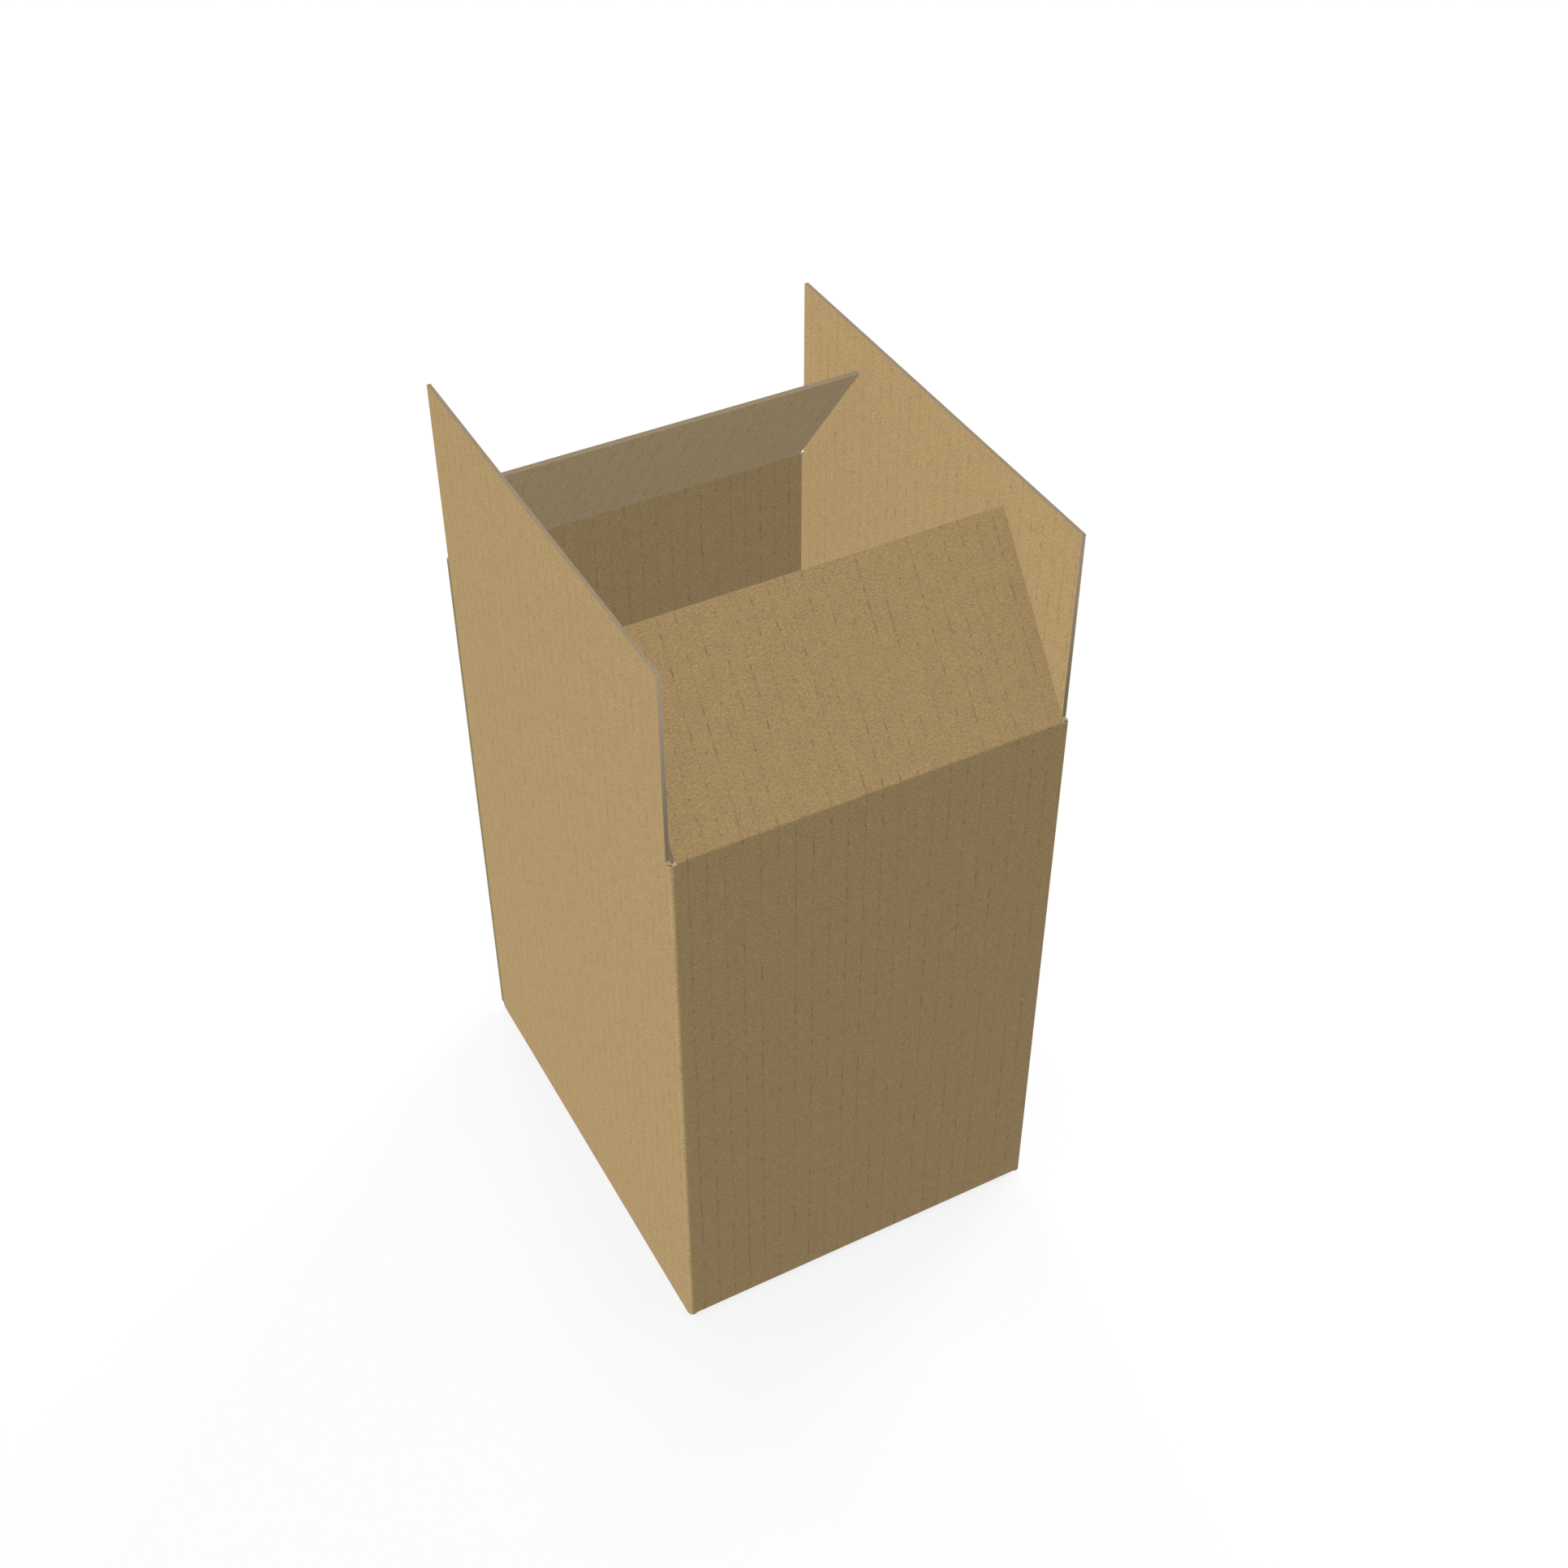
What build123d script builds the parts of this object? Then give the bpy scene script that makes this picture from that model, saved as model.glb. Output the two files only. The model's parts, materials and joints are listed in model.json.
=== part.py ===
# Open slotted carton, folded from one sheet of corrugated board, with four hinged top flaps.
# Millimetres, +Z up, origin at the middle of the underside. The front panel faces -Y.

import os

from build123d import *

# Driving dimensions
board = 3.0                   # thickness of the single-wall board
front_width = 300.0           # outside width of the front and back panels, along X
side_depth = 373.5            # outside width of the left and right panels, along Y
minor_crease_height = 483.5   # floor to the crease of the front and back flaps
minor_flap_length = 150.5     # crease to free edge, front and back flaps
minor_lean = 36.7             # degrees from upright that the front and back flaps lean inward
top_seam = 9.0                # left between the side flaps when they are folded shut
bottom_seam = 3.0             # between the two outer bottom flaps
fold_radius = 0.3             # inside radius of every fixed fold
slot_clearance = 2.25         # from the cut end of a flap to the inner face of the panel beside it
slot_overcut = 1.5            # how far a corner slot runs past the front and back creases
slot_radius = 1.2             # rounding at the foot of a corner slot
crease_gap = 0.2              # clear line between a panel and its flap on the outside of the crease
lap_width = 35.0              # glued lap, from the left panel's outer face
lap_taper = 8.0               # how much shorter the lap's free edge is at each end
lap_relief = 2.0              # from the lap's ends to the flaps that fold past them
lap_edge = 0.5                # set-back of the back panel's cut edge from the left panel's outer face

# Sizes that follow from them
outer_radius = fold_radius + board
slot_half = board + slot_clearance
major_crease_height = minor_crease_height + board   # the side flaps close over the other two
major_flap_length = (front_width - top_seam) / 2
minor_span = front_width - 2 * slot_half
major_span = side_depth - 2 * slot_half
slot_foot = minor_crease_height - slot_overcut
corner_foot = board + slot_overcut                  # lower end of the four corner folds
wall_foot = board + 2 * outer_radius                # above the bottom folds on every panel
left, right = -front_width / 2, front_width / 2
front, back = -side_depth / 2, side_depth / 2
lap_start = back - 2 * board - 2 * outer_radius     # where the left panel turns towards the lap
lap_root = left + (outer_radius + slot_half) / 2    # the lap starts here, inside the corner slot

# Each panel's place: turn about Z from the front panel, centre to outer face, and its flaps
minor = dict(
    out=side_depth / 2,
    span=minor_span,
    crease=minor_crease_height,
    length=minor_flap_length,
    lean=minor_lean,
    bottom_length=minor_flap_length,
    bottom_lift=board,
)
major = dict(
    out=front_width / 2,
    span=major_span,
    crease=major_crease_height,
    length=major_flap_length,
    lean=0.0,
    bottom_length=(front_width - bottom_seam) / 2,
    bottom_lift=0.0,
)
panels = {
    "front": dict(turn=0, **minor),
    "right": dict(turn=90, **major),
    "back": dict(turn=180, **minor),
    "left": dict(turn=270, **major),
}


def on_panel(panel, solid):
    """Moves a solid from panel axes (X along, Y inward, Z up) to its own side of the carton."""
    return Rot(Z=panel["turn"]) * Pos(Y=-panel["out"]) * solid


def across(section, span):
    """Carries a section, drawn as (inward, up), along a panel, centred on its middle."""
    return extrude(Plane.YZ * section, amount=span / 2, both=True)


def bent_board(outer_points, inner_points):
    """Section of bent board between its two faces, with the bends rounded about one centre each."""
    outer = FilletPolyline(*outer_points, radius=outer_radius)
    inner = FilletPolyline(*inner_points, radius=fold_radius)
    return make_face(outer + Line(outer @ 1, inner @ 0) + inner + Line(inner @ 1, outer @ 0))


def wall_plan():
    """Four panels in plan, from the back panel's cut edge round to the left panel's far end."""
    outside = [(left + lap_edge, back), (right, back), (right, front), (left, front), (left, lap_start)]
    inside = [
        (left + board, lap_start),
        (left + board, front + board),
        (right - board, front + board),
        (right - board, back - board),
        (left + lap_edge, back - board),
    ]
    return bent_board(outside, inside)


def lap_fold_plan():
    """The left panel's far end in plan, turning inside the back panel to carry the lap."""
    outside = [(left, lap_start), (left, back - board), (lap_root, back - board)]
    inside = [(lap_root, back - 2 * board), (left + board, back - 2 * board), (left + board, lap_start)]
    return bent_board(outside, inside)


def lap_plate():
    """The glued lap on the back panel's inner face, tapered at both ends."""
    low = 2 * board + lap_relief
    high = minor_crease_height - board - lap_relief
    free = left + lap_width
    outline = Polygon(
        (lap_root, low), (free, low + lap_taper), (free, high - lap_taper), (lap_root, high), align=None
    )
    return extrude(Plane.XZ.offset(board - back) * outline, amount=board)


def bottom_flap(panel):
    """A panel's lower end, bent inward to its bottom flap. The front and back ones lie on the side ones."""
    low, length = panel["bottom_lift"], panel["bottom_length"]
    outside = [(0, wall_foot), (0, low), (length, low)]
    inside = [(length, low + board), (board, low + board), (board, wall_foot)]
    return across(bent_board(outside, inside), panel["span"])


def foot_relief(panel):
    """Clears the straight wall away where a bottom fold takes its place."""
    section = Pos(board / 2, 0) * Rectangle(2 * board, 2 * wall_foot)
    return across(section, panel["span"])


def crease_cut(panel):
    """Trims the top of a panel to its crease: level on the outer face, mitred down to the inner one."""
    start = panel["crease"] - crease_gap / 2
    top = major_crease_height + 2 * board
    section = Polygon(
        (-board, start + board), (2 * board, start - 2 * board), (2 * board, top), (-board, top), align=None
    )
    return across(section, panel["span"])


def corner_slot():
    """A slot between two neighbouring flaps, down to a rounded foot."""
    height = major_crease_height + board - slot_foot
    slot = Box(2 * slot_half, 2 * slot_half, height, align=(Align.CENTER, Align.CENTER, Align.MIN))
    return fillet(slot.faces().sort_by(Axis.Z)[0].edges(), radius=slot_radius)


def top_flap(panel):
    """A flap that hinges on its panel's outer face, with a mitred root so that it can close or fold out."""
    section = Polygon(
        (0, crease_gap / 2),
        (board, board + crease_gap / 2),
        (board, panel["length"]),
        (0, panel["length"]),
        align=None,
    )
    flap = Rot(X=-panel["lean"]) * across(section, panel["span"])
    return on_panel(panel, Pos(Z=panel["crease"]) * flap)


def carton_body():
    """Walls, lap and closed bottom, all one folded and glued sheet."""
    height = major_crease_height - corner_foot
    walls = Pos(Z=corner_foot) * extrude(wall_plan() + lap_fold_plan(), amount=height)
    for panel in panels.values():
        walls -= on_panel(panel, foot_relief(panel))
        walls -= on_panel(panel, crease_cut(panel))
    for x in (left, right):
        for y in (front, back):
            walls -= Pos(x, y, slot_foot) * corner_slot()
    body = walls + lap_plate()
    for panel in panels.values():
        body += on_panel(panel, bottom_flap(panel))
    return body


nodes = {"carton_body": carton_body()}
for name, panel in panels.items():
    nodes[f"{name}_flap"] = top_flap(panel)

os.makedirs("parts", exist_ok=True)
for node, solid in nodes.items():
    export_step(solid, f"parts/{node}.step")
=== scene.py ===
# Open slotted carton: one sheet of corrugated kraft board, slotted, folded and glued.
# Metres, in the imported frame's own axes. The paper's patterns are in millimetres of the flat sheet.
import json
import math

import bmesh
import bpy
import numpy as np
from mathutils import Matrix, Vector


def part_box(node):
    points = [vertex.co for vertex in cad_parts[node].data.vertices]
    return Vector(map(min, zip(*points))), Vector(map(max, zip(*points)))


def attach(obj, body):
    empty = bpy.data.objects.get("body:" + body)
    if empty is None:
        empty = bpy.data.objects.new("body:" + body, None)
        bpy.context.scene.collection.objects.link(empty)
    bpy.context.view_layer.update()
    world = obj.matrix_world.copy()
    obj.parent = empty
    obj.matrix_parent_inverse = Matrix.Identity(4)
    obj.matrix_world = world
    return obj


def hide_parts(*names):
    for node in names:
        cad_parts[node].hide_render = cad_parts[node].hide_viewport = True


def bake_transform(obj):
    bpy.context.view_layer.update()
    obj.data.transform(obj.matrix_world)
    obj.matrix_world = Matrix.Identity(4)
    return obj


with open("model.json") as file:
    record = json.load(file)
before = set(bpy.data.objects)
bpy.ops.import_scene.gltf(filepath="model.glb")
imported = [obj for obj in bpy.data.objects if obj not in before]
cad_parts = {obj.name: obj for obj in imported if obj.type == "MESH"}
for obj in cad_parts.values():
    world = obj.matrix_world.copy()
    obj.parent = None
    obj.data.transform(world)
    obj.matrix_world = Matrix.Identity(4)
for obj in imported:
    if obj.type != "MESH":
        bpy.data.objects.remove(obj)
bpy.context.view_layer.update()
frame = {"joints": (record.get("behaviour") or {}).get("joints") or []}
scene = bpy.context.scene
scene.view_settings.view_transform = "Standard"
mm = 0.001


# Shader maths

class Wire:
    # A socket of a node tree. Sums written with it add Math nodes.
    def __init__(self, maker, socket):
        self.maker, self.socket = maker, socket

    def math(self, operation, *terms):
        return self.maker.node("ShaderNodeMath", {"operation": operation}, dict(enumerate(terms)))

    def __add__(self, other):
        return self.math("ADD", self, other)

    def __radd__(self, other):
        return self.math("ADD", other, self)

    def __sub__(self, other):
        return self.math("SUBTRACT", self, other)

    def __rsub__(self, other):
        return self.math("SUBTRACT", other, self)

    def __mul__(self, other):
        return self.math("MULTIPLY", self, other)

    def __rmul__(self, other):
        return self.math("MULTIPLY", other, self)

    def __truediv__(self, other):
        return self.math("DIVIDE", self, other)

    def __abs__(self):
        return self.math("ABSOLUTE", self)

    def floor(self):
        return self.math("FLOOR", self)

    def sine(self):
        return self.math("SINE", self)

    def larger(self, other):
        return self.math("MAXIMUM", self, other)

    # 0 below low, 1 above high and a smooth step between them; low may be the larger of the two
    def rise(self, low, high):
        return self.maker.node(
            "ShaderNodeMapRange",
            {"interpolation_type": "SMOOTHSTEP"},
            {"Value": self, "From Min": low, "From Max": high, "To Min": 0.0, "To Max": 1.0},
        )


class Maker:
    # Adds nodes to one material or world.
    def __init__(self, owner):
        owner.use_nodes = True
        self.tree = owner.node_tree
        self.tree.nodes.clear()

    def node(self, kind, settings=None, sockets=None, out=0):
        made = self.tree.nodes.new(kind)
        for name, value in (settings or {}).items():
            setattr(made, name, value)
        for name, value in (sockets or {}).items():
            if isinstance(value, Wire):
                self.tree.links.new(value.socket, made.inputs[name])
            else:
                made.inputs[name].default_value = value
        return Wire(self, made.outputs[out]) if made.outputs else None

    def attribute(self, name, out):
        return self.node("ShaderNodeAttribute", {"attribute_name": name}, None, out)

    def vector(self, x, y, z):
        return self.node("ShaderNodeCombineXYZ", None, {"X": x, "Y": y, "Z": z})

    def scale(self, vector, factor):
        return self.node("ShaderNodeVectorMath", {"operation": "SCALE"}, {0: vector, "Scale": factor})

    # noise from 0 to 1, one unit coarse
    def noise(self, vector, detail, roughness):
        return self.node(
            "ShaderNodeTexNoise",
            {"noise_dimensions": "3D", "normalize": True},
            {"Vector": vector, "Scale": 1.0, "Detail": detail, "Roughness": roughness},
        )

    # factor 0 gives first, 1 gives second
    def mix(self, factor, first, second):
        settings = {"data_type": "RGBA", "blend_type": "MIX", "clamp_factor": True}
        return self.node("ShaderNodeMix", settings, {0: factor, 6: first, 7: second}, out=2)


def rgba(red, green, blue):
    return (red, green, blue, 1.0)


# Sizes from the frame

bodyLow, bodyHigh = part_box("carton_body")
flapBoxes = {side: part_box(side + "_flap") for side in ("back", "right", "front", "left")}
folds = {joint["child"]: joint for joint in frame["joints"]}
thickness = flapBoxes["left"][1].x - flapBoxes["left"][0].x

shell = {
    "foldRadius": 3.3 * mm,       # outer face of every fold
    "seamBelowCrease": 8.0 * mm,  # from the lower creases to where the flaps' own pieces start
    "glueGap": 0.1 * mm,          # between glued faces
    "lapEdge": 0.5 * mm,          # set-back of the back panel's cut edge
    "lapWidth": 35.0 * mm,
    "lapRoot": 4.275 * mm,        # from the left panel's outer face
    "lapTaper": 8.0 * mm,
    "cornerFoot": 4.5 * mm,
    "slotDrop": 1.5 * mm,         # slot foot under the lower creases
    "slotRadius": 1.2 * mm,
    "bottomSeam": 3.0 * mm,
    "bendSteps": 10,
    "slotSteps": 12,              # over the two rounded ends of a slot's foot
    "plainStep": 45.0 * mm,
    "wallSteps": 8,
    "bottomSteps": 4,
    "slotRows": (0.0, 0.6, 1.0),  # shares of the height from the seam to a slot's foot
    "columnDigits": 8,            # decimals of a metre that a column is rounded to
    "sameColumn": 2e-8,           # columns closer than this are one
    "stepSlack": 1e-6,            # share of a step that still counts as none
}
radius = shell["foldRadius"]
quarter = radius * math.pi / 2
lowerCrease = min(fold["pos_m"][2] for fold in folds.values())
seamHeight = lowerCrease - shell["seamBelowCrease"]
footHeight = thickness + shell["glueGap"] + radius
slotHeight = lowerCrease - shell["slotDrop"]

# Straight runs of the sheet in plan, from the back panel's cut edge round to the lap.
# A quarter turn follows each of them but the last.
width, length = bodyHigh.x - bodyLow.x, bodyHigh.y - bodyLow.y
runLengths = {
    "back": width - shell["lapEdge"] - radius,
    "right": length - 2 * radius,
    "front": width - 2 * radius,
    "left": length - 2 * radius - thickness - shell["glueGap"],
    "lap": shell["lapWidth"] - radius,
}
legLength = np.array([part for run in runLengths.values() for part in (run, quarter)][:-1])
legBend = np.array([0, -1 / radius] * len(runLengths))[:-1]
legStart = np.concatenate(([0], np.cumsum(legLength)[:-1]))
legHeading = np.concatenate(([0], np.cumsum(legLength * legBend)[:-1]))
turnStart = legStart[1::2]


# Board

boardLook = {
    "flutePitch": 6.465,          # mm from one flute to the next
    "flutePhase": 0.31,           # share of a pitch
    "linerThickness": 0.34,       # mm
    "fluteThickness": 0.30,       # mm
    "specular": 0.18,
}
boardMm = thickness / mm
flutesPerMm = 2 * math.pi / boardLook["flutePitch"]   # radians of the fluted paper's wave for each mm

linerLook = {
    "kraft": rgba(0.438, 0.299, 0.138),
    "kraftCool": rgba(0.412, 0.302, 0.142),
    # inner face: painted light, lighter than the kraft to make up for the shade inside the box
    "kraftInside": rgba(0.459, 0.315, 0.1455),
    "kraftDark": rgba(0.200, 0.134, 0.060),
    "insideFrom": (0.45, 0.55),   # shares of the thickness
    "faceShift": 37.0,            # between the noise on the two faces
    "cloudRange": (0.35, 0.70),
    "cloudStrength": 0.20,
    "mottleStrength": 0.08,
    "fibreStrength": 0.34,
    "grainStrength": 0.42,
    "streakPitch": 12.93,         # mm, every second flute shows through
    "streakPhase": 0.47,          # share of a pitch
    "longPanelShift": -0.265,     # of the lines on the long panels, share of a pitch
    "streakWander": 0.10,         # share of a pitch
    "streakWidth": 1.00,          # mm, from its middle
    "streakStrength": 0.78,
    "speckSpacing": 15.0,         # mm
    "speckReach": 0.052,          # share of the spacing
    "speckStrength": 1.00,
    "fleckSpacing": 6.5,          # mm
    "fleckReach": 0.062,          # share of the spacing
    "fleckStrength": 0.62,
    "fleckLayer": 4.5,
    "speckCore": 0.4,             # share of its reach that is fully dark
    "speckChance": (0.30, 0.75),  # of a cell's random number, from no speck to a full one
    "tickRange": (0.50, 0.68),
    "tickPatchRange": (0.42, 0.66),
    "tickStrength": 0.60,         # of the short wrinkles across the upright folds
    "washboard": 0.018,           # mm, height of the flutes showing through the liner
    "fibreHeight": 0.05,          # mm
    "darkDepth": 0.05,            # mm
    "bump": 0.22,
    "roughness": 0.93,
    "fibreRoughness": 0.06,
}

# Noise in the liner: mm round the box, mm up it, a layer of its own, detail and roughness
linerNoise = {
    "cloud": (55.0, 70.0, 0.0, 2.0, 0.5),
    "mottle": (15.0, 10.0, 3.0, 2.0, 0.5),
    "fibre": (4.5, 1.0, 5.0, 3.0, 0.62),
    "grain": (1.5, 1.1, 9.0, 1.0, 0.5),
    "wander": (40.0, 45.0, 13.0, 1.0, 0.5),
    "tick": (9.0, 1.1, 31.0, 1.0, 0.5),
    "tickPatch": (30.0, 45.0, 35.0, 1.0, 0.5),
}

# Parts of a dark line: step of the noise from line to line, mm up, layer, detail, roughness, range, strength
lineParts = {
    "faint": (1.73, 60.0, 17.0, 1.0, 0.5, 0.25, 0.75, 0.20),
    "dash": (3.71, 7.0, 21.0, 2.0, 0.6, 0.49, 0.66, 0.68),
    "dot": (9.13, 2.1, 27.0, 1.0, 0.5, 0.62, 0.80, 0.70),
}

edgeLook = {
    "paper": rgba(0.352, 0.273, 0.181),
    # painted shade in the hollows beside the fluted paper, and how much of it is mixed in
    "hollow": rgba(0.265, 0.203, 0.133),
    "hollowShare": 0.40,
    "fromWave": (0.25, 0.70),     # mm, where a hollow starts beside the fluted paper
    "fromFace": (0.25, 0.50),     # mm, where it starts under a liner
    "wornFrom": 480.0,            # mm up the sheet
    "wornTo": 640.0,
    # levels of each kind of cut edge, low and high up the sheet; the rise between them is painted shade by
    # the creases and painted light on the flaps
    "acrossLevels": (1.10, 1.13),
    "alongLevels": (0.87, 1.76),
    "fuzzSize": (0.9, 0.6),       # mm on the sheet and through it
    "fuzzStrength": 0.22,
    "fuzzHeight": 0.12,           # mm
    "slowSize": 30.0,             # mm
    "slowDetail": 1.0,
    "slowRoughness": 0.5,
    "slowStrength": 0.10,
}

slotLook = {
    "pale": rgba(0.450, 0.365, 0.255),
    # painted shade of the opened hollow at a slot's foot
    "deep": rgba(0.120, 0.085, 0.048),
    "deepRange": (0.10, 0.55),    # shares of the hollow's depth
    "fuzzSize": (0.7, 0.5),       # mm on the sheet and through it
    "fuzzStrength": 0.40,
    "fuzzHeight": 0.2,            # mm
}

tornLook = {
    "detail": 3.0,
    "noiseRoughness": 0.6,
    "roughness": 0.95,
    "fuzzRoughness": 0.05,
    "bump": 0.7,
}


# The place on the flat sheet that a point was folded from, in mm: round the box, up the flutes, and depth.
def sheetCoords(maker):
    inMm = maker.scale(maker.attribute("sheetCoords", "Vector"), 1 / mm)
    return [maker.node("ShaderNodeSeparateXYZ", None, {0: inMm}, out=axis) for axis in "XYZ"]


# Matte paper with a relief in mm, joined to the material's output.
def paperSurface(maker, colour, roughness, height, strength):
    bump = maker.node("ShaderNodeBump", None, {"Height": height, "Distance": mm, "Strength": strength})
    surface = maker.node(
        "ShaderNodeBsdfPrincipled",
        None,
        {
            "Base Color": colour,
            "Roughness": roughness,
            "Normal": bump,
            "Specular IOR Level": boardLook["specular"],
        },
    )
    maker.node("ShaderNodeOutputMaterial", None, {"Surface": surface})


# Small dark dots, one in some cells of a random grid; reach is a share of the spacing.
def specks(maker, around, up, layer, spacing, reach):
    cells = {"feature": "F1", "voronoi_dimensions": "3D"}
    place = {"Vector": maker.vector(around / spacing, up / spacing, layer), "Scale": 1.0}
    near = maker.node("ShaderNodeTexVoronoi", cells, place, out="Distance")
    chance = maker.node("ShaderNodeTexVoronoi", cells, place, out="Color")
    keep = maker.node("ShaderNodeSeparateColor", None, {0: chance}, out="Red")
    return near.rise(reach, linerLook["speckCore"] * reach) * keep.rise(*linerLook["speckChance"])


# Brown liner: pale fibres across the flutes, broken dark lines on every second flute, specks and slow clouds,
# and an inner face painted lighter as painted light for the shade inside the box.
def kraftLiner():
    look = linerLook
    material = bpy.data.materials.new("kraftLiner")
    maker = Maker(material)
    around, up, depth = sheetCoords(maker)
    face = depth.floor() * look["faceShift"]

    def noise(kind):
        sizeRound, sizeUp, layer, detail, rough = linerNoise[kind]
        return maker.noise(maker.vector(around / sizeRound, up / sizeUp, face + layer), detail, rough)

    # Dark lines: a distance from the nearest one, times a faint part, dashes and dots
    turns = [around.rise(start / mm, (start + quarter) / mm) for start in turnStart]
    longPanel = turns[0] - turns[1] + turns[2] - turns[3]
    shift = longPanel * look["longPanelShift"] + (noise("wander") - 0.5) * look["streakWander"]
    across = around / look["streakPitch"] + look["streakPhase"] + shift
    line = across.floor()

    def linePart(kind):
        step, sizeUp, layer, detail, rough, low, high, strength = lineParts[kind]
        place = maker.vector(line * step, up / sizeUp, face + layer)
        return maker.noise(place, detail, rough).rise(low, high) * strength

    off = abs(across - line - 0.5) * look["streakPitch"]
    streak = off.rise(look["streakWidth"], 0.0) * (linePart("faint") + linePart("dash") + linePart("dot"))

    speck = specks(maker, around, up, face, look["speckSpacing"], look["speckReach"])
    fleck = specks(maker, around, up, face + look["fleckLayer"], look["fleckSpacing"], look["fleckReach"])
    tick = noise("tick").rise(*look["tickRange"]) * noise("tickPatch").rise(*look["tickPatchRange"])
    dark = (streak * look["streakStrength"]).larger(speck * look["speckStrength"])
    dark = dark.larger(fleck * look["fleckStrength"])
    dark = dark.larger(tick * maker.attribute("foldShare", "Fac") * look["tickStrength"])

    cloud = noise("cloud").rise(*look["cloudRange"]) * look["cloudStrength"]
    paper = maker.mix(cloud, look["kraft"], look["kraftCool"])
    # painted light: the inner face is mixed to a lighter colour to make up for the shade inside the box
    inside = depth.rise(*(share * boardMm for share in look["insideFrom"]))
    paper = maker.mix(inside, paper, look["kraftInside"])
    fibre, grain, mottle = (noise(kind) - 0.5 for kind in ("fibre", "grain", "mottle"))
    level = 1.0 + 2.0 * (                           # each noise swings by a half
        fibre * look["fibreStrength"] + grain * look["grainStrength"] + mottle * look["mottleStrength"]
    )
    colour = maker.mix(dark, maker.scale(paper, level), look["kraftDark"])

    flutes = (around * flutesPerMm).sine() * look["washboard"]
    relief = flutes + fibre * look["fibreHeight"] - dark * look["darkDepth"]
    rough = look["roughness"] + fibre * look["fibreRoughness"]
    paperSurface(maker, colour, rough, relief, look["bump"])
    return material


# Torn fibres: noise about 0 of the given sizes, on the sheet and through it.
def tornFuzz(maker, coords, sizes):
    around, up, depth = coords
    place = maker.vector(around / sizes[0], up / sizes[0], depth / sizes[1])
    return maker.noise(place, tornLook["detail"], tornLook["noiseRoughness"]) - 0.5


# Paper with torn fibres in its colour, roughness and relief.
def tornSurface(maker, look, paper, level, fuzz):
    colour = maker.scale(paper, level + fuzz * look["fuzzStrength"])
    rough = tornLook["roughness"] + fuzz * tornLook["fuzzRoughness"]
    paperSurface(maker, colour, rough, fuzz * look["fuzzHeight"], tornLook["bump"])


# Greyer cut edge: two liners with the wave of the fluted paper between them and shallow hollows beside it,
# with painted shade in the hollows.
# Its level goes from low to high up the sheet, from the creases to the free corners of the flaps: painted
# shade low by the creases and painted light high on the flaps.
def cutEdge(name, low, high):
    look = edgeLook
    material = bpy.data.materials.new(name)
    maker = Maker(material)
    around, up, depth = coords = sheetCoords(maker)
    phase = around * flutesPerMm + 2 * math.pi * boardLook["flutePhase"]
    swing = boardMm / 2 - boardLook["linerThickness"] - boardLook["fluteThickness"] / 2
    fromWave = abs(depth - boardMm / 2 - phase.sine() * swing)
    fromFace = boardMm / 2 - abs(depth - boardMm / 2)
    # painted shade: the hollows beside the fluted paper are darkened toward the hollow colour
    hollow = fromWave.rise(*look["fromWave"]) * fromFace.rise(*look["fromFace"])
    paper = maker.mix(hollow * look["hollowShare"], look["paper"], look["hollow"])
    place = maker.vector(around / look["slowSize"], up / look["slowSize"], depth)
    slow = maker.noise(place, look["slowDetail"], look["slowRoughness"])
    # painted shade and light: darker low by the creases, lighter high on the flaps
    paintedLightLevel = low + (high - low) * up.rise(look["wornFrom"], look["wornTo"])
    level = paintedLightLevel + (slow - 0.5) * look["slowStrength"]
    tornSurface(maker, look, paper, level, tornFuzz(maker, coords, look["fuzzSize"]))
    return material


# Torn foot of a corner slot: pale fibres on its lips and painted shade, dark in the hollow that the fold
# pulls open.
def slotFoot():
    look = slotLook
    material = bpy.data.materials.new("slotFoot")
    maker = Maker(material)
    hollow = maker.attribute("hollow", "Fac")
    # painted shade: dark deep in the hollow that the fold pulls open
    paper = maker.mix(hollow.rise(*look["deepRange"]), look["pale"], look["deep"])
    tornSurface(maker, look, paper, 1.0, tornFuzz(maker, sheetCoords(maker), look["fuzzSize"]))
    return material


# Places of the finishes on every piece
onLiner, onTop, onSlotFoot, onEnd = range(4)
boardMaterials = [
    kraftLiner(),
    cutEdge("cutAcrossFlutes", *edgeLook["acrossLevels"]),
    slotFoot(),
    cutEdge("cutAlongFlutes", *edgeLook["alongLevels"]),
]
print("materials: kraft liner, cut edge and slot foot")


# Folding

# Step along legs of the path: a straight run, or an arc whose heading turns by bend for each metre.
def legStep(run, heading, bend):
    turned = heading + bend * run
    curve = np.where(bend == 0, 1, bend)
    x = np.where(bend == 0, run * np.cos(heading), (np.sin(turned) - np.sin(heading)) / curve)
    y = np.where(bend == 0, run * np.sin(heading), (np.cos(heading) - np.cos(turned)) / curve)
    return np.stack((x, y), -1), turned


legSteps, _ = legStep(legLength, legHeading, legBend)
legPoint = np.array([bodyLow.x + shell["lapEdge"], bodyHigh.y]) + np.concatenate(
    (np.zeros((1, 2)), np.cumsum(legSteps, 0)[:-1])
)


# Upright sheet: the point at u round the plan path, moved inward by the depth, at height v.
def uprightSheet(u, v, depth):
    leg = np.clip(np.searchsorted(legStart, u, side="right") - 1, 0, len(legStart) - 1)
    step, heading = legStep(u - legStart[leg], legHeading[leg], legBend[leg])
    inward = np.stack((np.sin(heading), -np.cos(heading)), -1)
    plan = legPoint[leg] + step + inward * depth[..., None]
    return np.concatenate((plan, v[..., None]), -1)


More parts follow.
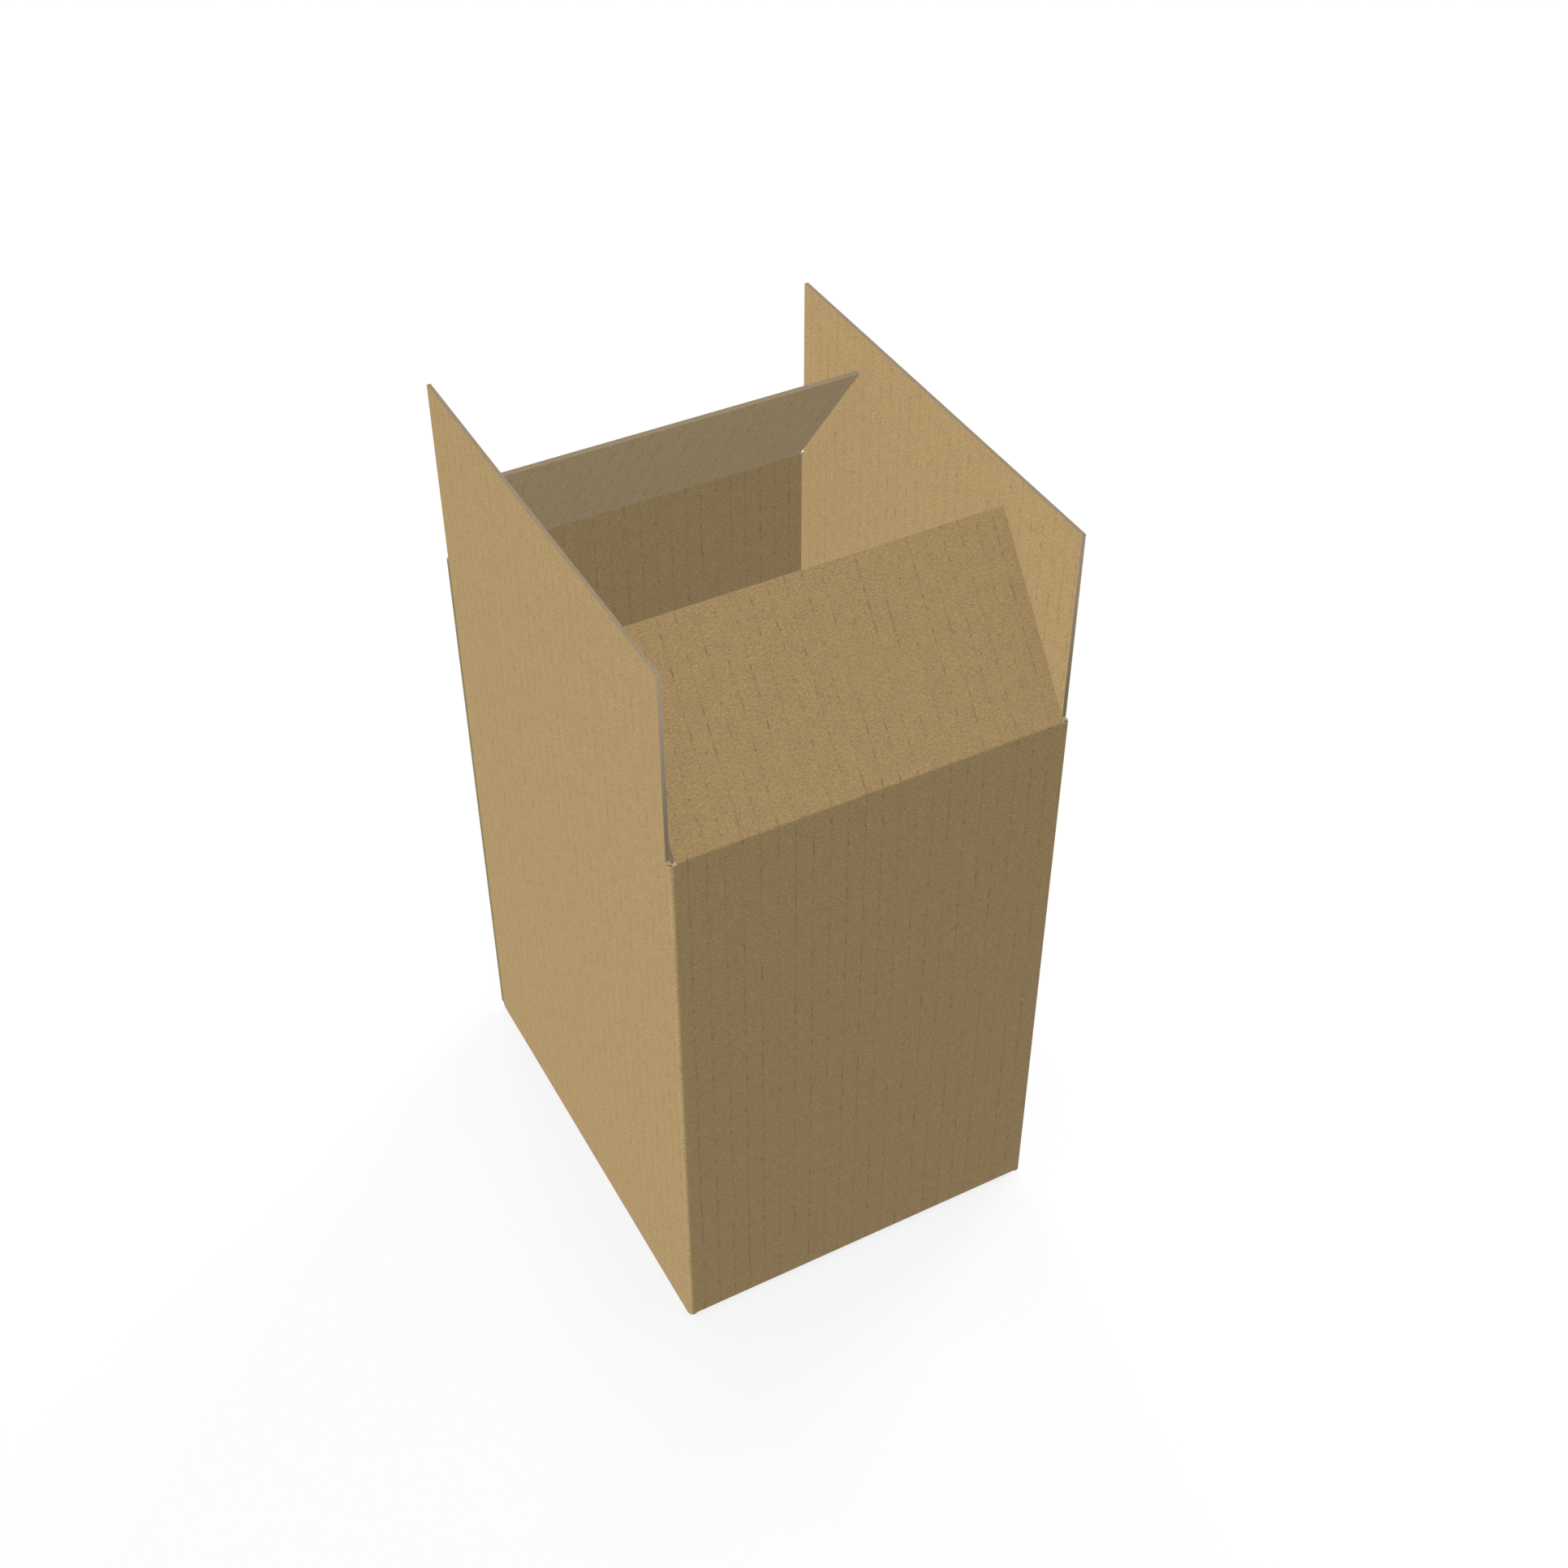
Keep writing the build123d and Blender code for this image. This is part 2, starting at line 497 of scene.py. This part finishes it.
# Section of a fold: straight before 0, then an arc that turns by the whole angle, then straight again.
# Gives the distance inward, the distance along the wall's own direction, and the angle turned so far.
def foldCurve(along, turn):
    angle = np.clip(along / radius, 0, turn)
    after = np.maximum(along - radius * turn, 0)
    inward = radius * (1 - np.cos(angle)) + after * math.sin(turn)
    onward = radius * np.sin(angle) + after * math.cos(turn)
    return inward, onward, angle


# Each panel: its straight run in plan, its flap's fold at the top and its bottom flap's fold.
def panelOf(side):
    run = list(runLengths).index(side) * 2
    heading = legHeading[run]
    forward = np.array([math.cos(heading), math.sin(heading)])
    fold, (low, high) = folds[side + "_flap"], flapBoxes[side]
    closing = fold["range_deg"][1]
    lean = math.radians(90 - closing) if closing > 0 else 0.0      # a leaning flap closes to level
    crease = fold["pos_m"][2]
    corners = np.array([low[:2], high[:2]])
    ends = legStart[run] + (corners - legPoint[run]) @ forward
    lies = side in ("front", "back")                               # on the other two, under the goods
    flapLength = (high.z - crease) / math.cos(lean)
    return {
        "start": legStart[run],
        "runEnd": legStart[run] + legLength[run],
        "point": legPoint[run],
        "forward": forward,
        "inward": np.array([forward[1], -forward[0]]),
        "lean": lean,
        "length": flapLength,
        "bendStart": crease - radius * math.tan(lean / 2),
        "span": sorted(ends),
        "footStart": radius + (thickness + shell["glueGap"] if lies else 0.0),
        "bottomLength": flapLength if lies else (width - shell["bottomSeam"]) / 2,
    }


panels = {side: panelOf(side) for side in flapBoxes}


# Folded panel: a straight wall between two folds, a quarter turn inward under footStart and the flap's lean
# over bendStart.
def foldedPanel(panel):
    def place(u, v, depth):
        inLow, onLow, turnLow = foldCurve(np.maximum(panel["footStart"] - v, 0), math.pi / 2)
        inHigh, onHigh, turnHigh = foldCurve(np.maximum(v - panel["bendStart"], 0), panel["lean"])
        inward = inLow + inHigh + depth * np.cos(turnLow) * np.cos(turnHigh)
        height = np.clip(v, panel["footStart"], panel["bendStart"]) - onLow + onHigh
        height = height + depth * (np.sin(turnLow) - np.sin(turnHigh))
        along = (u - panel["start"])[..., None] * panel["forward"]
        plan = panel["point"] + along + inward[..., None] * panel["inward"]
        return np.concatenate((plan, height[..., None]), -1)

    return place


# Fine cut edges

cutRelief = {
    "depth": 0.12 * mm,           # of the hollows beside the fluted paper
    "steps": 15,                  # across the thickness
    "fade": 0.8 * mm,             # to nothing at the ends of an edge
    "perFlute": 8,
    "fromWave": (0.8, 2.2),       # where a hollow starts, in thicknesses of the fluted paper from its middle
    "fromFace": (0.6, 1.4),       # where it starts, in thicknesses of a liner from the face
    "slotHollow": 2.4 * mm,       # depth of the opened corner at the foot of a slot
    "slotReach": 2.9 * mm,        # of that opening, each way round the fold
    "slotLip": 0.45 * mm,         # left standing on both faces
}
fineDepths = np.linspace(0, thickness, cutRelief["steps"])


# 0 below the first limit, 1 above the second and a smooth step between them.
def smoothStep(value, low, high):
    share = np.clip((value - low) / (high - low), 0, 1)
    return share * share * (3 - 2 * share)


# How open the board is at (u, depth): 0 on the liners and on the fluted paper's sine wave, 1 between them.
def openFlute(u, depth):
    liner, flute = boardLook["linerThickness"] * mm, boardLook["fluteThickness"] * mm
    phase = 2 * math.pi * (u / (boardLook["flutePitch"] * mm) + boardLook["flutePhase"])
    wave = thickness / 2 + np.sin(phase) * (thickness / 2 - liner - flute / 2)
    fromFace = thickness / 2 - np.abs(depth - thickness / 2)
    clear = smoothStep(np.abs(depth - wave), *(part * flute for part in cutRelief["fromWave"]))
    return clear * smoothStep(fromFace, *(part * liner for part in cutRelief["fromFace"]))


# Fades to 0 at both ends of a row of positions.
def endFade(row):
    return np.clip(np.minimum(row - row.min(), row.max() - row) / cutRelief["fade"], 0, 1)


# Hollows of an edge cut across the flutes, along columns u.
def hollowsAcross(u):
    return openFlute(u[:, None], fineDepths[None]) * endFade(u)[:, None] * cutRelief["depth"]


# Hollows of an edge cut along the flutes at u, over rows v.
def hollowsAlong(u, v):
    return openFlute(u, fineDepths[None]) * endFade(v)[:, None] * cutRelief["depth"]


# The opened corner at a slot's foot: half an ellipse round the fold's middle and across the thickness.
def slotOpening(u):
    middles = turnStart + quarter / 2
    offFold = np.min(np.abs(u[:, None] - middles[None]), 1) / cutRelief["slotReach"]
    offMiddle = (fineDepths - thickness / 2) / (thickness / 2 - cutRelief["slotLip"])
    left = 1 - offFold[:, None] ** 2 - offMiddle[None] ** 2
    return np.sqrt(np.clip(left, 0, 1)) * endFade(u)[:, None] * cutRelief["slotHollow"]


# A grid of the sheet folded into place. Turned patches face away from u x v.
def patch(place, u, v, depth, turned, finish, sunkU=0.0, sunkV=0.0):
    u, v, depth = (np.array(part, float) for part in np.broadcast_arrays(u, v, depth))
    return {
        "spots": place(u + sunkU, v + sunkV, depth),
        "coords": np.stack((u, v, depth), -1),
        "hollow": np.broadcast_to(np.abs(sunkV) / cutRelief["slotHollow"], u.shape),
        "turned": turned,
        "finish": finish,
    }


# Both liners over columns u and rows v, where v may differ from column to column.
def linerPatches(place, u, v):
    u, v = u[:, None], np.broadcast_to(v, (len(u), np.shape(v)[-1]))
    return [patch(place, u, v, 0.0, True, onLiner), patch(place, u, v, thickness, False, onLiner)]


# Edge cut across the flutes, at height v along columns u. Its hollows sink into the sheet.
def cutAcross(place, u, v, top, sunk=0.0, finish=onTop):
    v = np.broadcast_to(v, u.shape)[:, None]
    return patch(place, u[:, None], v, fineDepths[None], top, finish, sunkV=-sunk if top else sunk)


# Edge cut along the flutes, at u along rows v. The flute that it opens runs beside it.
def cutAlong(place, u, v, end, sunk=0.0):
    return patch(place, u, v[:, None], fineDepths[None], not end, onEnd, sunkU=-sunk if end else sunk)


# How far into an upright fold u lies: half a sine wave over each quarter turn, 0 on the straight runs.
def foldShare(u):
    into = (u[:, None] - turnStart[None]) / quarter
    return np.max(np.where((into > 0) & (into < 1), np.sin(np.pi * into), 0), 1)


sheetMesh = {
    "weld": 2e-6,                 # points closer than this become one
    "sharpAngle": 55.0,           # degrees
}


# Joins patches of quads into one closed mesh that carries its sheet coordinates.
def sheetObject(name, patches):
    quads, used = [], 0
    for part in patches:
        rows, columns = part["spots"].shape[:2]
        index = np.arange(rows * columns).reshape(rows, columns) + used
        corners = [index[:-1, :-1], index[1:, :-1], index[1:, 1:], index[:-1, 1:]]
        quads.append(np.stack(corners[::-1] if part["turned"] else corners, -1).reshape(-1, 4))
        used += rows * columns
    spots = np.concatenate([part["spots"].reshape(-1, 3) for part in patches])
    coords = np.concatenate([part["coords"].reshape(-1, 3) for part in patches])
    hollowShades = np.concatenate([part["hollow"].ravel() for part in patches])
    finishes = np.repeat([part["finish"] for part in patches], [len(part) for part in quads])
    mesh = bpy.data.meshes.new(name)
    mesh.from_pydata(spots, [], np.concatenate(quads))
    mesh.polygons.foreach_set("material_index", finishes.astype(np.int32))
    carried = mesh.attributes.new("sheetCoords", "FLOAT_VECTOR", "POINT")
    carried.data.foreach_set("vector", coords.astype(np.float32).ravel())
    for label, values in (("hollow", hollowShades), ("foldShare", foldShare(coords[:, 0]))):
        carried = mesh.attributes.new(label, "FLOAT", "POINT")
        carried.data.foreach_set("value", values.astype(np.float32))
    joined = bmesh.new()
    joined.from_mesh(mesh)
    bmesh.ops.remove_doubles(joined, verts=joined.verts, dist=sheetMesh["weld"])
    joined.to_mesh(mesh)
    joined.free()
    mesh.shade_smooth()
    mesh.set_sharp_from_angle(angle=math.radians(sheetMesh["sharpAngle"]))
    for material in boardMaterials:
        mesh.materials.append(material)
    made = bpy.data.objects.new(name, mesh)
    scene.collection.objects.link(made)
    print(f"{name}: {len(mesh.polygons)} faces")
    return made


# Evenly spaced values between each pair of neighbouring keys, no further apart than the step.
def fillBetween(keys, step):
    keys = np.unique(keys)
    counts = np.maximum(np.ceil(np.diff(keys) / step - shell["stepSlack"]).astype(int), 1)
    parts = [np.linspace(a, b, n, endpoint=False) for a, b, n in zip(keys[:-1], keys[1:], counts)]
    return np.concatenate(parts + [keys[-1:]])


# Carton shell: walls with rounded folds, corner columns between the slots, glued lap and bottom flaps

lapStart = legStart[-1] + shell["lapRoot"] - radius
lapEnd = legStart[-1] + legLength[-1]
topSpans, footSpans = [], []
for panel in panels.values():
    first, last = panel["span"]
    over = max(last - panel["runEnd"], 0.0)         # the left flap reaches over the start of the lap's fold
    topSpans.append((first, last if not over else panel["runEnd"] + radius * math.asin(over / radius)))
    footSpans.append((first, min(last, panel["runEnd"])))

slotSides = [u for span in topSpans for u in span]
slotRound = np.linspace(-1, 1, shell["slotSteps"] + 1) * shell["slotRadius"]
keys = [0.0, lapStart, lapEnd] + slotSides + [u for span in footSpans for u in span]
keys += [u for start in turnStart for u in np.linspace(start, start + quarter, shell["bendSteps"] + 1)]
keys += [u + part for u in slotSides for part in slotRound]
keys = np.unique(np.round(keys, shell["columnDigits"]))
columns = fillBetween(keys, shell["plainStep"])


def columnsBetween(first, last):
    return columns[(columns > first - shell["sameColumn"]) & (columns < last + shell["sameColumn"])]


# Walls and lap in one; the lap's ends slope in towards its free edge
slope = np.clip((columns - lapStart) / (lapEnd - lapStart), 0, 1) * shell["lapTaper"]
wallLow, wallHigh = footHeight + slope, seamHeight - slope
wallShares = np.linspace(0, 1, shell["wallSteps"] + 1)
wallRows = wallLow[:, None] + (wallHigh - wallLow)[:, None] * wallShares[None]
patches = linerPatches(uprightSheet, columns, wallRows)
patches.append(cutAlong(uprightSheet, columns[0], wallRows[0], False))
patches.append(cutAlong(uprightSheet, columns[-1], wallRows[-1], True))
lapColumns = columnsBetween(lapStart, lapEnd)
patches.append(cutAcross(uprightSheet, lapColumns, wallHigh[-len(lapColumns):], True))
patches.append(cutAcross(uprightSheet, lapColumns, wallLow[-len(lapColumns):], False))

# Where the flaps' own pieces take over
for span in topSpans:
    patches.append(cutAcross(uprightSheet, columnsBetween(*span), seamHeight, True))


# Corner columns: up to the rounded foot of each slot, and down to the short legs between the bottom flaps
def cornersBetween(spans):
    edges = [0.0] + [u for span in spans for u in span] + [lapStart]
    return list(zip(edges[::2], edges[1::2]))


for first, last in cornersBetween(topSpans):
    inSlot = columnsBetween(first, last)
    sides = [end for end in (first, last) if end in slotSides]
    near = np.min([np.abs(inSlot - end) for end in sides], 0)
    short = np.clip(1 - near / shell["slotRadius"], 0, 1)
    top = slotHeight + shell["slotRadius"] * (1 - np.sqrt(1 - short ** 2))
    rows = seamHeight + (top - seamHeight)[:, None] * np.array([shell["slotRows"]])
    patches += linerPatches(uprightSheet, inSlot, rows)
    patches.append(cutAcross(uprightSheet, inSlot, top, True, slotOpening(inSlot), onSlotFoot))
    patches.append(cutAlong(uprightSheet, inSlot[0], rows[0], False))
    patches.append(cutAlong(uprightSheet, inSlot[-1], rows[-1], True))

for first, last in cornersBetween(footSpans):
    inLeg = columnsBetween(first, last)
    rows = np.array([shell["cornerFoot"], footHeight])
    patches += linerPatches(uprightSheet, inLeg, rows)
    patches.append(cutAcross(uprightSheet, inLeg, rows[0], False))
    patches.append(cutAlong(uprightSheet, inLeg[0], rows, False))
    patches.append(cutAlong(uprightSheet, inLeg[-1], rows, True))

# Bottom flaps
for panel, span in zip(panels.values(), footSpans):
    place = foldedPanel(panel)
    bendRows = panel["footStart"] - np.linspace(0, quarter, shell["bendSteps"] + 1)
    freeEnd = bendRows[-1] - (panel["bottomLength"] - radius)
    plateRows = np.linspace(freeEnd, bendRows[-1], shell["bottomSteps"] + 1)
    rows = np.unique(np.concatenate((plateRows, bendRows, [footHeight])))
    across = columnsBetween(*span)
    patches += linerPatches(place, across, rows)
    patches.append(cutAcross(place, across, rows[0], False))
    patches.append(cutAlong(place, across[0], rows, False))
    patches.append(cutAlong(place, across[-1], rows, True))

cartonShell = sheetObject("carton_shell", patches)
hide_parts("carton_body")
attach(cartonShell, "carton")


# Top flaps: each from just under its crease to its free edge, bending where it meets the wall

flapLook = {
    "bendReach": 4.5 * mm,        # each side of the crease
    "bendOver": 1.1,              # how much further the fine rows go
    "bendRows": 26,
    "plateRows": 5,
}
fluteStep = boardLook["flutePitch"] * mm / cutRelief["perFlute"]
bendShares = np.linspace(-flapLook["bendOver"], flapLook["bendOver"], flapLook["bendRows"])

for side, panel in panels.items():
    name = side + "_flap"
    place = foldedPanel(panel)
    first, last = panel["span"]
    fade = cutRelief["fade"]
    across = fillBetween([first, first + fade, last - fade, last], fluteStep)
    arcEnd = panel["bendStart"] + radius * panel["lean"]
    freeEnd = arcEnd + panel["length"] - radius * math.tan(panel["lean"] / 2)
    crossing = (panel["bendStart"] + arcEnd) / 2
    bendRows = crossing + bendShares * flapLook["bendReach"]
    plateRows = np.linspace(bendRows[-1], freeEnd - fade, flapLook["plateRows"])
    rows = np.unique(np.concatenate(([seamHeight, seamHeight + fade], bendRows, plateRows, [freeEnd])))
    patches = linerPatches(place, across, rows)
    patches.append(cutAcross(place, across, rows[-1], True, hollowsAcross(across)))
    patches.append(cutAcross(place, across, rows[0], False))
    patches.append(cutAlong(place, first, rows, False, hollowsAlong(first, rows)))
    patches.append(cutAlong(place, last, rows, True, hollowsAlong(last, rows)))
    flap = sheetObject(name + "_board", patches)
    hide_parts(name)
    inward = np.append(panel["inward"], 0.0)
    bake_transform(flap)


# Floor, light and camera

studio = {
    "floorHalf": 14.0,
    "floorDrop": 0.4 * mm,
    "floorColour": rgba(0.500, 0.507, 0.538),
    "floorGlow": 0.58,            # what the camera sees of the floor where no light falls on it
    "ambient": 0.05,
    "lamps": {
        # direction to the lamp, suns (one lights a facing surface to its own colour), tint, spread, shadow
        "left": ((-1.0, 0.0, 0.0), 0.884, (1.0, 1.0, 1.0), 20.0, False),
        "front": ((0.0, -1.0, 0.0), 0.453, (0.915, 0.95, 0.99), 20.0, False),
        "low": ((0.0, 0.0, -1.0), 0.42, (0.545, 0.67, 0.95), 20.0, False),
        "overhead": ((0.0, 0.0, 1.0), 0.48, (1.0, 0.982, 0.915), 5.0, False),
        "sky": ((0.0, 0.0, 1.0), 0.15, (1.0, 0.99, 0.95), 30.0, True),
        "right": ((1.0, 0.5, 0.25), 0.31, (1.0, 1.0, 1.0), 25.0, True),
        "back": ((0.15, 1.0, 0.25), 0.25, (1.0, 1.0, 1.0), 25.0, True),
        "rightFill": ((1.0, 0.0, 0.0), 0.27, (1.0, 1.0, 1.0), 20.0, False),
        "backFill": ((0.0, 1.0, 0.0), 0.20, (1.0, 1.0, 1.0), 20.0, False),
    },
    "eye": (-0.555494, -1.090698, 1.434061),
    "looking": (0.35388, 0.656978, -0.665694),
    "lens": 50.4267,
    "sensor": 36.0,
    "farthest": 60.0,
}


# 1 for what the camera, a reflection or a clear surface shows, 0 for what only lights other things.
def seenDirectly(maker):
    rays = ("Is Camera Ray", "Is Glossy Ray", "Is Transmission Ray")
    seen = [maker.node("ShaderNodeLightPath", None, None, out=ray) for ray in rays]
    return seen[0].larger(seen[1]).larger(seen[2])


half, drop = studio["floorHalf"], -studio["floorDrop"]
corners = [(-half, -half, drop), (half, -half, drop), (half, half, drop), (-half, half, drop)]
floorMesh = bpy.data.meshes.new("studio_floor")
floorMesh.from_pydata(corners, [], [(0, 1, 2, 3)])
floor = bpy.data.objects.new("studio_floor", floorMesh)
scene.collection.objects.link(floor)
floorFinish = bpy.data.materials.new("studioFloor")
maker = Maker(floorFinish)
strength = seenDirectly(maker) * studio["floorGlow"]
glow = maker.node("ShaderNodeEmission", None, {"Color": rgba(1, 1, 1), "Strength": strength})
matte = maker.node("ShaderNodeBsdfDiffuse", None, {"Color": studio["floorColour"]})
both = maker.node("ShaderNodeAddShader", None, {0: matte, 1: glow})
maker.node("ShaderNodeOutputMaterial", None, {"Surface": both})
floorMesh.materials.append(floorFinish)

world = bpy.data.worlds.new("studioWorld")
scene.world = world
maker = Maker(world)
strength = studio["ambient"] + seenDirectly(maker) * (1.0 - studio["ambient"])
backdrop = maker.node("ShaderNodeBackground", None, {"Color": rgba(1, 1, 1), "Strength": strength})
maker.node("ShaderNodeOutputWorld", None, {"Surface": backdrop})

for name, (toward, suns, tint, spread, shadow) in studio["lamps"].items():
    lamp = bpy.data.lights.new(name, "SUN")
    lamp.energy = suns * math.pi
    lamp.color = tint
    lamp.angle = math.radians(spread)
    lamp.use_shadow = shadow
    lamp.cycles.max_bounces = 0                     # each lamp lights a face only once
    holder = bpy.data.objects.new(name, lamp)
    holder.rotation_mode = "QUATERNION"
    holder.rotation_quaternion = Vector(toward).to_track_quat("Z", "Y")
    scene.collection.objects.link(holder)
print("lamps:", ", ".join(studio["lamps"]))

lens = bpy.data.cameras.new("photoCamera")
lens.lens, lens.sensor_width, lens.clip_end = studio["lens"], studio["sensor"], studio["farthest"]
camera = bpy.data.objects.new("photoCamera", lens)
camera.location = studio["eye"]
camera.rotation_euler = Vector(studio["looking"]).to_track_quat("-Z", "Y").to_euler()
scene.collection.objects.link(camera)
scene.camera = camera
